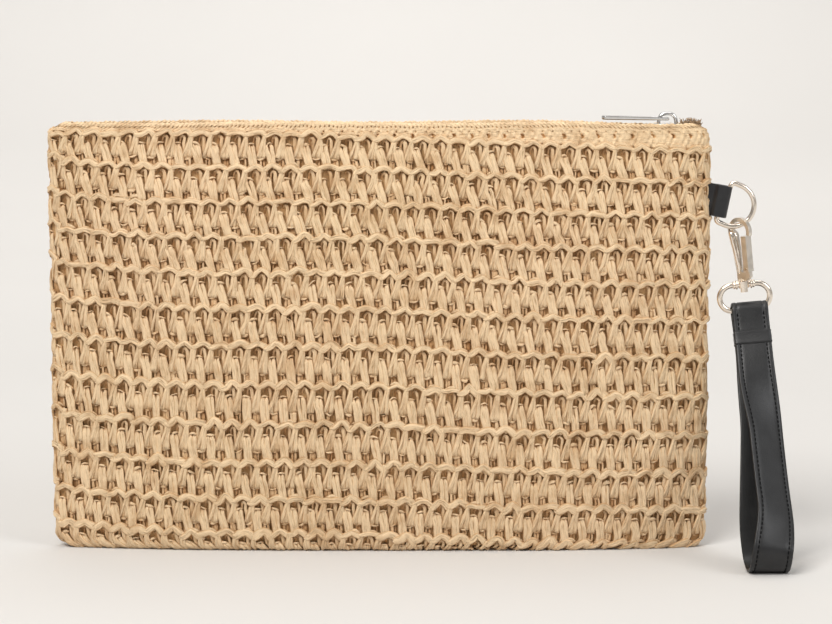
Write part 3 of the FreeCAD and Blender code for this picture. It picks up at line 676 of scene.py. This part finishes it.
# ---------------------------------------------------------------- pouch
def pouch():
    """Crochet rows over an inner straw layer coloured dark as painted shade, the seam band at the mouth,
    and the lining.
    """
    rows = straw_rows(STRAW)
    for side in ("front", "back"):
        web = skin_sheet(f"straw_web_{side}", side, WEB_DEPTH, HEIGHT - 2.0, wave=0.35)
        thicken(web, WEB_PLY)
        finish_piece(web, WEB_PAINTED_SHADE, "purse", [f"straw_{side}"])
        band = mouth_band(side)
        lining = skin_sheet(
            f"lining_{side}_cloth", side, LINING_DEPTH, HEIGHT - 7.5, low=4.5, edge=0.975, wave=0.3,
            columns=110, rows=70,
        )
        thicken(lining, LINING_CLOTH_PLY)
        finish_piece(lining, LINING, "purse", [f"lining_{side}"])


def mouth_band(side):
    """Flat knotty seam band round the mouth, with needle holes, slots and a rounded lip."""
    start = 0.0 if side == "front" else 2.0
    columns = 1100
    shares = np.linspace(-1.0, 1.0, columns) + start
    levels = [(-12.0, -2.2)] + [(0.36 * step - BAND_DROP, -0.7) for step in range(BAND_STEPS)]
    levels += [(-1.5, -0.72), (-1.1, -0.8), (-0.7, -0.95), (-0.35, -1.25), (-0.15, -1.7)]
    levels += [(-0.35, -2.2), (-1.2, -2.7), (-4.0, -2.9)]
    profile = np.array(levels)
    turn, drop = np.meshgrid(shares, profile[:, 0])
    out = np.repeat(profile[:, 1:], columns, axis=1)
    outer = np.arange(len(profile))[:, None] <= BAND_STEPS
    low = ridge_height(np.zeros(turn.shape, dtype=int), turn)
    tall = HEIGHT - LIP_DROP - np.minimum(HEIGHT - 4.0, low + 0.6)
    lower = outer & (drop < -LIP_DROP)
    z = HEIGHT + np.where(lower, -LIP_DROP + (drop + LIP_DROP) * tall / (BAND_DROP - LIP_DROP), drop)
    along = shares * WIDTH / 2
    relief = band_relief(along, HEIGHT - z)
    lip = np.exp(-(((drop + 0.8) / 0.9) ** 2)) * lip_relief(along, drop)
    out = out + outer * relief + lip + rng.normal(0, 0.03, out.shape)
    base = skin(turn, z)
    normal = skin_normals(turn, np.minimum(z, HEIGHT - 1.5))
    normal[..., 2] = 0
    normal /= np.maximum(np.linalg.norm(normal, axis=-1, keepdims=True), 1e-9)
    verts = base + normal * out[..., None]
    dip = 0.35 * np.sin(along * 0.045 + 0.5) + 0.9 * np.exp(-(((base[..., 0] - 118.0) / 26.0) ** 2))
    uneven = 0.22 * np.sin(2 * math.pi * along / 2.3 + np.sin(along * 0.9)) + 0.15 * np.sin(along * 0.71)
    top = np.minimum(z, HEIGHT + 0.1) + uneven * np.clip(drop / 2 + 1, 0, 1)
    verts[..., 2] = top - dip * np.clip((z - HEIGHT + 6.0) / 6.0, 0, 1)
    uvs = np.stack([z, along[None, :] + 0 * z], axis=-1) * MM
    # Place layer: depth of needle holes and slots, which the straw material turns into painted shade.
    place = np.stack([0.5 + 0 * z, 1 + outer * np.minimum(relief, 0.0) / 2.2], axis=-1)
    faces = grid_faces(*z.shape)
    uvs, place = uvs.reshape(-1, 2), place.reshape(-1, 2)
    band = mesh_object(f"mouth_band_{side}", verts.reshape(-1, 3), faces, uvs, place)
    return finish_piece(band, STRAW, "purse")


def lip_relief(along, drop):
    """Small slanting stitches over the rounded lip, as millimetres of relief."""
    slant = np.sin(2 * math.pi * (along / 2.03 + drop / 3.5) + 0.8 * np.sin(along * 0.29))
    return 0.28 * slant + 0.12 * np.sin(2 * math.pi * along / 0.83 + drop * 2)


def band_relief(along, down):
    """Needle holes, slots and small slanting knots of the seam band, as millimetres of relief."""
    holes = np.maximum(np.cos(2 * math.pi * along / 1.9 + 0.9 * np.sin(along * 0.37)), 0) ** 3
    holes = holes * np.exp(-(((down - 2.2 - 0.25 * np.sin(along * 0.6)) / 0.42) ** 2))
    bent = along + 0.45 * np.abs(down - 6.6)
    slots = np.maximum(np.cos(2 * math.pi * bent / 8.1 + 0.9 * np.sin(along * 0.13)), 0) ** 10
    slots = slots * np.exp(-(((down - 6.3) / 1.0) ** 4)) * (0.85 + 0.2 * np.sin(along * 0.41))
    specks = np.maximum(np.cos(2 * math.pi * along / 4.05 + 0.8 * np.sin(along * 0.21)), 0) ** 8
    specks = specks * np.exp(-(((down - 4.3) / 0.35) ** 2))
    slant = np.sin(2 * math.pi * (along / 2.7 + down / 5.0))
    slant = slant + 0.6 * np.sin(2 * math.pi * (along / 4.05 - down / 4.2))
    knots = 0.26 * slant * np.clip((down - 2.6) / 1.2, 0, 1) * (0.75 + 0.45 * np.sin(along * 0.83 + 2.0))
    weave = 0.12 * np.sin(2 * math.pi * along / 0.95 + 1.2) * np.sin(down * 2.6)
    return knots + weave - 1.6 * holes - 2.4 * slots - 1.0 * specks


pouch()


# ---------------------------------------------------------------- metal and leather small parts
def dress(node, material):
    """Gives a CAD node that keeps its own shape its finished material."""
    obj = bpy.data.objects[node]
    for slot in obj.material_slots:
        slot.material = material


def rounded(node, body, material, roll, reshape=None):
    """A CAD node's shape with its sharp edges rolled over, in place of the node."""
    source = bpy.data.objects[node]
    mesh = source.data.copy()
    mesh.transform(source.matrix_world)
    if reshape is not None:
        points = np.array([reshape(np.array(vertex.co)) for vertex in mesh.vertices])
        mesh.vertices.foreach_set("co", points.ravel())
    obj = link(bpy.data.objects.new(f"{node}_finished", mesh))
    work = bmesh.new()
    work.from_mesh(mesh)
    bmesh.ops.remove_doubles(work, verts=work.verts, dist=0.000005)
    bmesh.ops.dissolve_limit(work, angle_limit=math.radians(1.0), verts=work.verts, edges=work.edges)
    work.to_mesh(mesh)
    work.free()
    mesh.polygons.foreach_set("use_smooth", [True] * len(mesh.polygons))
    bevel = obj.modifiers.new("rolled_edges", "BEVEL")
    bevel.width = roll * MM
    bevel.segments = 3
    bevel.limit_method = "ANGLE"
    bevel.angle_limit = math.radians(30)
    obj.modifiers.new("even_shading", "WEIGHTED_NORMAL")
    apply_modifiers(obj)
    finish_piece(obj, material, body, [node])


def joint_vector(joint, key):
    """A joint's place or axis from the frame, in metres."""
    return np.array(next(entry[key] for entry in frame["joints"] if entry["name"] == joint), dtype=float)


def snug_tab(point):
    """Draws the tab's fold in along the tab, so that it sits close round the D-ring's bar."""
    tilt = math.radians(11.0)
    along = np.array([math.cos(tilt), 0.0, -math.sin(tilt)])
    beyond = max(float((point - joint_vector("d_ring_swing", "pos_m")) @ along) + 3.4 * MM, 0.0)
    return point - 0.32 * beyond * along


def lift_pull(point):
    """Thickens the pull's blade towards its tip and lifts the tip off the seam."""
    low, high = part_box("zip_pull")
    middle = (low[2] + high[2]) / 2
    share = (high[0] - point[0]) / (high[0] - low[0])
    height = middle + (point[2] - middle) * (0.95 + 0.35 * share) + 0.6 * MM * share
    return np.array([point[0], point[1], height])


def lean_spring(point):
    """Leans the gate's leaf spring in from its foot, to where the pressed gate holds it."""
    across, _, up = hook_axes()
    above = max(float((point - joint_vector("gate_press", "pos_m")) @ up), 0.0)
    return point - math.tan(math.radians(13.0)) * above * across


def small_parts():
    """Zip, slider, tab, rings and hook."""
    kept = {
        "zip_tape_front": TAPE, "zip_tape_back": TAPE, "zip_teeth_front": BRASS, "zip_teeth_back": BRASS,
        "zip_top_stops": BRASS, "zip_bottom_stop": BRASS, "gate_pin": GOLD,
        "swivel_rivet": GOLD, "d_ring": GOLD,
    }
    for node, material in kept.items():
        dress(node, material)
    rounded("slider_body", "slider", SILVER, 0.35)
    rounded("zip_pull", "pull", SILVER, 0.5, lift_pull)
    rounded("hook_body", "hook", CAST_GOLD, 0.55)
    rounded("hook_gate", "gate", CAST_GOLD, 0.42)
    rounded("gate_spring", "hook", STEEL, 0.04, lean_spring)
    rounded("strap_ring", "swivel", GOLD, 0.3)
    rounded("ring_tab", "purse", TAB_LEATHER, 0.4, snug_tab)
    slider_arch()
    hook_limb()
    ring_collars()
    zip_end()


def swept(name, rings, material, body, replaced=()):
    """A solid through rings of points in mm, all with the same number of points."""
    rings = np.asarray(rings)
    obj = mesh_object(name, rings.reshape(-1, 3), tube_faces(1, rings.shape[0], rings.shape[1]))
    finish_piece(obj, material, body, replaced)


def slider_arch():
    """Round arch of the slider that holds the pull, with a crowned outer face."""
    low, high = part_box("slider_bridge")
    middle, half, rise = (low[0] + high[0]) / 2, (high[0] - low[0]) / 2, high[2] - low[2]
    strip, wide = 1.7 * MM, (high[1] - low[1]) / 2
    rings = []
    for turn in np.linspace(-0.12, math.pi + 0.12, 40):
        across = np.sign(math.cos(turn)) * abs(math.cos(turn)) ** 0.8
        up = np.sign(math.sin(turn)) * abs(math.sin(turn)) ** 0.8
        facing = np.array([math.cos(turn), math.sin(turn)])
        reached = np.array([across * (half - strip / 2), up * (rise - strip / 2)])
        spine = np.array([middle, low[2]]) + reached
        ring = []
        for angle in np.arange(16) * math.pi / 8:
            out = facing * math.sin(angle) * strip / 2
            side = np.sign(math.cos(angle)) * abs(math.cos(angle)) ** 0.6 * wide
            ring.append((spine[0] + out[0], side, spine[1] + out[1]))
        rings.append(ring)
    swept("slider_arch", np.array(rings) / MM, SILVER, "slider", ["slider_bridge"])


def hook_axes():
    """The hook's own directions in the world: across its plane, through it, and up."""
    up = joint_vector("ring_swivel", "axis")
    through = -joint_vector("gate_press", "axis")
    return np.cross(through, up), through, up


def hook_limb():
    """Cast limb of the hook: broad and crowned below the claw, with a groove down its face."""
    across, through, up = hook_axes()
    origin = joint_vector("hook_swing", "pos_m") / MM
    drops = np.array([0.0, 1.5, 3.0, 4.5, 7.0, 11.0, 15.0, 19.0, 22.0])
    wide = np.array([1.8, 2.6, 3.9, 4.3, 4.2, 4.0, 3.4, 2.8, 2.2])
    thick = np.array([2.2, 3.2, 4.8, 5.3, 5.0, 4.3, 3.6, 2.9, 2.2])
    fine = np.linspace(drops[0], drops[-1], 45)
    left = -6.3 + 3.8 * fine / 21.2
    width, depth = np.interp(fine, drops, wide), np.interp(fine, drops, thick)
    angles = np.arange(40) * math.pi / 20
    facing = math.radians(-40.0)
    groove = 0.22 * np.exp(-((np.angle(np.exp(1j * (angles - facing))) / 0.16) ** 2))
    rings = []
    for drop, edge, w, t in zip(fine, left, width, depth):
        cut = 1 - groove * np.clip((drop - 3.0) / 2.0, 0, 1) * np.clip((17.0 - drop) / 4.0, 0, 1)
        x = edge + w / 2 + np.cos(angles) * w / 2 * cut
        y = np.sin(angles) * t / 2 * cut
        rings.append(origin + x[:, None] * across + y[:, None] * through - drop * up)
    swept("hook_limb", rings, GOLD, "hook")


def ring_collars():
    """Turned collars on the strap ring's wire, one on each side of the swivel's boss."""
    up = joint_vector("ring_swivel", "axis")
    centre = joint_vector("ring_swivel", "pos_m") / MM - 1.45 * up
    along, through = np.array([up[2], 0.0, -up[0]]), np.array([0.0, 1.0, 0.0])
    outline = [
        (2.85, 1.3), (2.9, 1.9), (3.1, 2.25), (3.6, 2.2), (3.85, 1.7),
        (4.0, 1.6), (4.2, 1.95), (4.7, 1.85), (5.1, 1.35),
    ]
    angles = np.arange(24) * math.pi / 12
    for hand, side in ((-1, "left"), (1, "right")):
        round_it = np.cos(angles)[:, None] * through + np.sin(angles)[:, None] * up
        rings = [centre + hand * at * along + radius * round_it for at, radius in outline]
        swept(f"ring_collar_{side}", rings, GOLD, "swivel")


def zip_end():
    """The frayed brown end of the zip tape: short fibres standing up beyond the slider."""
    count, rings = 90, 5
    root = np.stack([rng.uniform(135.0, 143.8, count), rng.uniform(-2.4, 2.4, count)], axis=1)
    share = np.linspace(0, 1, rings)
    lean = rng.normal(0, 0.9, (count, 2))
    tall = rng.uniform(2.0, 4.6, count) * (1 - ((root[:, 0] - 139.0) / 9.0) ** 2)
    x = root[:, :1] + lean[:, :1] * share**2
    y = root[:, 1:] + lean[:, 1:] * share**2 * 0.7
    z = 192.2 + tall[:, None] * share
    centre = np.stack([x, y, z], axis=-1)
    angles = np.arange(5) * 2 * math.pi / 5
    ring = np.stack([np.cos(angles), np.sin(angles), 0 * angles], axis=-1)
    radius = (0.34 - 0.16 * share)[None, :, None, None]
    verts = centre[:, :, None, :] + ring[None, None] * radius
    obj = mesh_object("zip_end_fibres", verts.reshape(-1, 3), tube_faces(count, rings, 5))
    finish_piece(obj, TAPE_END, "purse")


# ---------------------------------------------------------------- wrist strap, mm
STRAP_AT = Vector(joint_vector("strap_swing", "pos_m")) / MM
STRAP_LEAN = math.radians(28.0)
STRAP_TWIST = math.radians(29.0)
PLY = 1.3
LINING_PLY = 0.4
BEND_RADIUS = 10.0
EYE_RADIUS = 3.5
NECK_DROP = 18.0
STITCH_PITCH = 2.1
STITCH_LENGTH = 1.45
KEEPER_START = 10.4
KEEPER_END = 16.9
BEND_DROP = (STRAP_AT.z - BEND_RADIUS) / math.cos(STRAP_LEAN)


def ease(value, low, high):
    """Smooth step from 0 to 1 between two values."""
    share = np.clip((value - low) / (high - low), 0, 1)
    return share * share * (3 - 2 * share)


def strap_space(across, deep, drop):
    """World place of a point of the strap, which twists and drifts on its way down."""
    twist = STRAP_TWIST * (ease(drop, 20, 62) - 0.85 * ease(drop, 92, 121))
    drift = 1.3 + 1.8 * ease(drop, -10, 30) + 1.5 * ease(drop, 22, 60) + 0.4 * ease(drop, 80, 120)
    roll = 0.085 * across * (1 - ease(drop, 15, 55))
    x = across * np.cos(twist) - deep * np.sin(twist) + drift
    y = across * np.sin(twist) + deep * np.cos(twist)
    lean_y, lean_z = math.cos(STRAP_LEAN), math.sin(STRAP_LEAN)
    forward = STRAP_AT.y + y * lean_y - drop * lean_z
    height = STRAP_AT.z - y * lean_z - drop * lean_y + roll
    return np.stack([STRAP_AT.x + x, forward, height], axis=-1)


def strap_path(inset, steps=260):
    """Closed side line of the strap at an inset, as evenly spaced (deep, drop) points."""
    neck, bend, eye = 1.8 - inset, BEND_RADIUS - inset, EYE_RADIUS - inset
    down = np.linspace(NECK_DROP, BEND_DROP, 40)
    share = (down - NECK_DROP) / (BEND_DROP - NECK_DROP)
    flank = neck + (bend - neck) * share**1.6
    turn = np.linspace(0, math.pi, 30)[1:-1]
    deep = np.concatenate([-flank, -bend * np.cos(turn), flank[::-1], [neck, neck + 0.2]])
    drop = np.concatenate([down, BEND_DROP + bend * np.sin(turn), down[::-1], [12.0, 7.0]])
    over = np.linspace(-0.35, math.pi + 0.35, 24)
    deep = np.concatenate([deep, eye * np.cos(over), [-neck - 0.2, -neck]])
    drop = np.concatenate([drop, -0.3 - eye * np.sin(over), [7.0, 12.0]])
    for _ in range(2):
        deep = (np.roll(deep, 1) + 2 * deep + np.roll(deep, -1)) / 4
        drop = (np.roll(drop, 1) + 2 * drop + np.roll(drop, -1)) / 4
    deep, drop = np.append(deep, deep[0]), np.append(drop, drop[0])
    run = np.concatenate([[0], np.cumsum(np.hypot(np.diff(deep), np.diff(drop)))])
    even = np.linspace(0, run[-1], steps, endpoint=False)
    return np.interp(even, run, deep), np.interp(even, run, drop), even, run[-1]


def path_normals(deep, drop):
    """Outward normals of a closed side line."""
    ahead = [np.roll(line, -1) - np.roll(line, 1) for line in (deep, drop)]
    along = np.stack(ahead, axis=-1)
    along /= np.linalg.norm(along, axis=-1, keepdims=True)
    return np.stack([-along[:, 1], along[:, 0]], axis=-1), along


def strap_half_width(drop):
    """The strap widens a little below its neck."""
    return 8.2 + 0.9 * ease(drop, 18, 52)


def strap_band(name, inset, section_points, material, node):
    """One layer of the strap, swept round its side line with a cross-section."""
    deep, drop, _, _ = strap_path(inset)
    normal, _ = path_normals(deep, drop)
    half = strap_half_width(drop)
    side = np.array([p[0] for p in section_points])
    inward = np.array([p[1] for p in section_points])
    level = np.array([p[2] for p in section_points])
    across = side[None, :] * half[:, None] - np.sign(side)[None, :] * inward[None, :]
    points = strap_space(
        across, deep[:, None] + normal[:, :1] * level, drop[:, None] + normal[:, 1:] * level
    )
    points[..., 2] = np.clip(points[..., 2], 0.02, None)
    faces = tube_faces(1, len(deep), len(section_points), closed=True)
    obj = mesh_object(name, points.reshape(-1, 3), faces)
    finish_piece(obj, material, "strap", [node])


def leather_section():
    """Leather ply: rolled edges and a pressed line where each row of stitches runs."""
    half = PLY / 2
    top = [(0.0, 0.0), (0.15, 0.55), (0.45, 0.88), (0.9, 1.0), (1.7, 1.0), (2.05, 0.82), (2.3, 0.62)]
    top += [(2.6, 0.82), (3.0, 0.98)]
    right = [(1.0, inward, level * half) for inward, level in top]
    middle = [(0.5, 0.0, half), (0.2, 0.0, half * 1.03), (-0.2, 0.0, half * 1.03), (-0.5, 0.0, half)]
    left = [(-1.0, inward, level * half) for inward, level in top[::-1]]
    under = [(-1.0, 0.2, -0.7 * half), (-1.0, 0.7, -half), (0.0, 0.0, -half)]
    under += [(1.0, 0.7, -half), (1.0, 0.2, -0.7 * half)]
    return right + middle + left + under


def backing_section():
    """Backing: a thin flat layer just narrower than the leather."""
    half = LINING_PLY / 2
    top = [(1.0, 0.5, 0.0), (1.0, 0.7, half), (0.0, 0.0, half), (-1.0, 0.7, half), (-1.0, 0.5, 0.0)]
    return top + [(-1.0, 0.7, -half), (0.0, 0.0, -half), (1.0, 0.7, -half)]


def strap_stitches():
    """Two rows of lock stitches along the strap."""
    deep, drop, even, total = strap_path(PLY / 2, 1200)
    normal, _ = path_normals(deep, drop)
    starts = np.arange(0.0, total - STITCH_PITCH, STITCH_PITCH)
    share = np.linspace(0, 1, 6)
    lift = 0.64 * PLY / 2 + 0.26 * np.sin(math.pi * share)
    angles = np.arange(6) * math.pi / 3
    radius = 0.23
    strips = []
    for hand in (-1, 1):
        for start in starts:
            here = start + 0.35 + STITCH_LENGTH * share
            place_deep, place_drop = np.interp(here, even, deep), np.interp(here, even, drop)
            under_keeper = (place_drop.min() > KEEPER_START - 1.5) & (place_drop.max() < KEEPER_END + 1.0)
            if place_drop.min() < 1.0 or under_keeper:
                continue
            out_deep, out_drop = np.interp(here, even, normal[:, 0]), np.interp(here, even, normal[:, 1])
            across = hand * (strap_half_width(place_drop) - 2.3)
            wire = across[:, None] + radius * np.cos(angles)
            rise = lift[:, None] + radius * np.sin(angles)
            raised_deep = place_deep[:, None] + out_deep[:, None] * rise
            raised_drop = place_drop[:, None] + out_drop[:, None] * rise
            strips.append(strap_space(wire, raised_deep, raised_drop))
    verts = np.array(strips)
    verts[..., 2] = np.clip(verts[..., 2], 0.02, None)
    faces = tube_faces(len(strips), len(share), len(angles))
    obj = mesh_object("strap_stitches", verts.reshape(-1, 3), faces)
    finish_piece(obj, THREAD, "strap")


def strap_keeper():
    """Narrow leather band pulled tight round both plies, with pressed edges."""
    levels = [(0.0, -0.9), (0.05, -0.25), (0.4, 0.0), (0.9, 0.05), (1.5, -0.08), (3.2, 0.04), (5.0, -0.08)]
    levels += [(5.6, 0.05), (6.1, 0.0), (6.45, -0.25), (6.5, -0.9)]
    turn = np.arange(48) * math.pi / 24
    corner_x = np.sign(np.cos(turn)) * np.abs(np.cos(turn)) ** 0.22
    corner_y = np.sign(np.sin(turn)) * np.abs(np.sin(turn)) ** 0.32
    rings = []
    for level, out in levels:
        drop = KEEPER_START + level + 0 * turn
        half = strap_half_width(drop) + 0.3 + out
        rings.append(strap_space(corner_x * half, corner_y * (2.3 + out), drop))
    swept("strap_keeper_band", rings, LEATHER, "strap", ["strap_keeper"])


def strap():
    """Leather loop with its backing and stitching."""
    strap_band("strap_leather", PLY / 2, leather_section(), LEATHER, "strap_outer")
    strap_band("strap_inner", PLY + LINING_PLY / 2, backing_section(), BACKING, "strap_backing")
    strap_stitches()
    strap_keeper()


small_parts()
strap()


# ---------------------------------------------------------------- studio, metres
CAMERA_AIM = Vector((0.0159, 0.0, 0.1083))
CAMERA_EYE = Vector((CAMERA_AIM.x, -1.2, 0.2706))
SEEN_WIDTH = 0.378


def floor_and_lights():
    """Pale floor that curves up behind, a large soft key and three weaker lights."""
    profile = [(-3.0, 0.0), (1.2, 0.0), (1.7, 0.06), (2.1, 0.3), (2.3, 0.8), (2.35, 3.0)]
    verts = []
    for x in (-4000.0, 4000.0):
        verts += [(x, y / MM, z / MM) for y, z in profile]
    count = len(profile)
    faces = [(i, i + 1, i + 1 + count, i + count) for i in range(count - 1)]
    floor = mesh_object("floor", verts, faces)
    floor.data.materials.append(floor_material())
    area_light("key", (-0.8, -1.3, 1.9), 1.15, 44.0, (1.0, 0.985, 0.96))
    area_light("fill", (1.6, -1.1, 1.2), 1.0, 15.0, (0.97, 0.985, 1.0))
    area_light("top", (0.1, 0.5, 2.2), 1.8, 17.0, (1.0, 0.99, 0.98))
    area_light("backdrop", (0.0, 1.45, 1.2), 1.2, 6.0, (1.0, 0.99, 0.98), aim=(0.0, 2.3, 0.2))
    sky_light()


def sky_light():
    """Even pale sky, dimmer on the camera's side."""
    sky = Nodes(bpy.data.worlds.new("studio_world"), "Background")
    bpy.context.scene.world = sky.owner
    direction = sky.node("ShaderNodeTexCoord").outputs["Generated"]
    toward = sky.node("ShaderNodeSeparateXYZ", {"Vector": direction}).outputs["Y"]
    limits = {"Value": toward, "From Min": -0.85, "From Max": -0.3, "To Min": 0.26, "To Max": 0.43}
    dimmed = sky.node("ShaderNodeMapRange", limits).outputs[0]
    sky.set(Color=(1.0, 0.985, 0.96, 1), Strength=dimmed)


def area_light(name, place, size, power, colour, aim=(0, 0, 0.09)):
    """A square soft light that looks at the purse, or at another aim."""
    light = bpy.data.lights.new(name, "AREA")
    light.size = size
    light.energy = power
    light.color = colour
    obj = link(bpy.data.objects.new(name, light))
    obj.location = place
    obj.rotation_euler = (Vector(aim) - Vector(place)).to_track_quat("-Z", "Y").to_euler()


def camera():
    """Nearly straight on, a little above the purse's middle."""
    data = bpy.data.cameras.new("camera")
    obj = link(bpy.data.objects.new("camera", data))
    obj.location = CAMERA_EYE
    sight = CAMERA_AIM - CAMERA_EYE
    obj.rotation_euler = sight.to_track_quat("-Z", "Y").to_euler()
    data.sensor_width = 36.0
    data.lens = data.sensor_width * sight.length / SEEN_WIDTH
    data.clip_start, data.clip_end = 0.02, 20.0
    bpy.context.scene.camera = obj


floor_and_lights()
camera()
bpy.context.scene.view_settings.view_transform = "Standard"
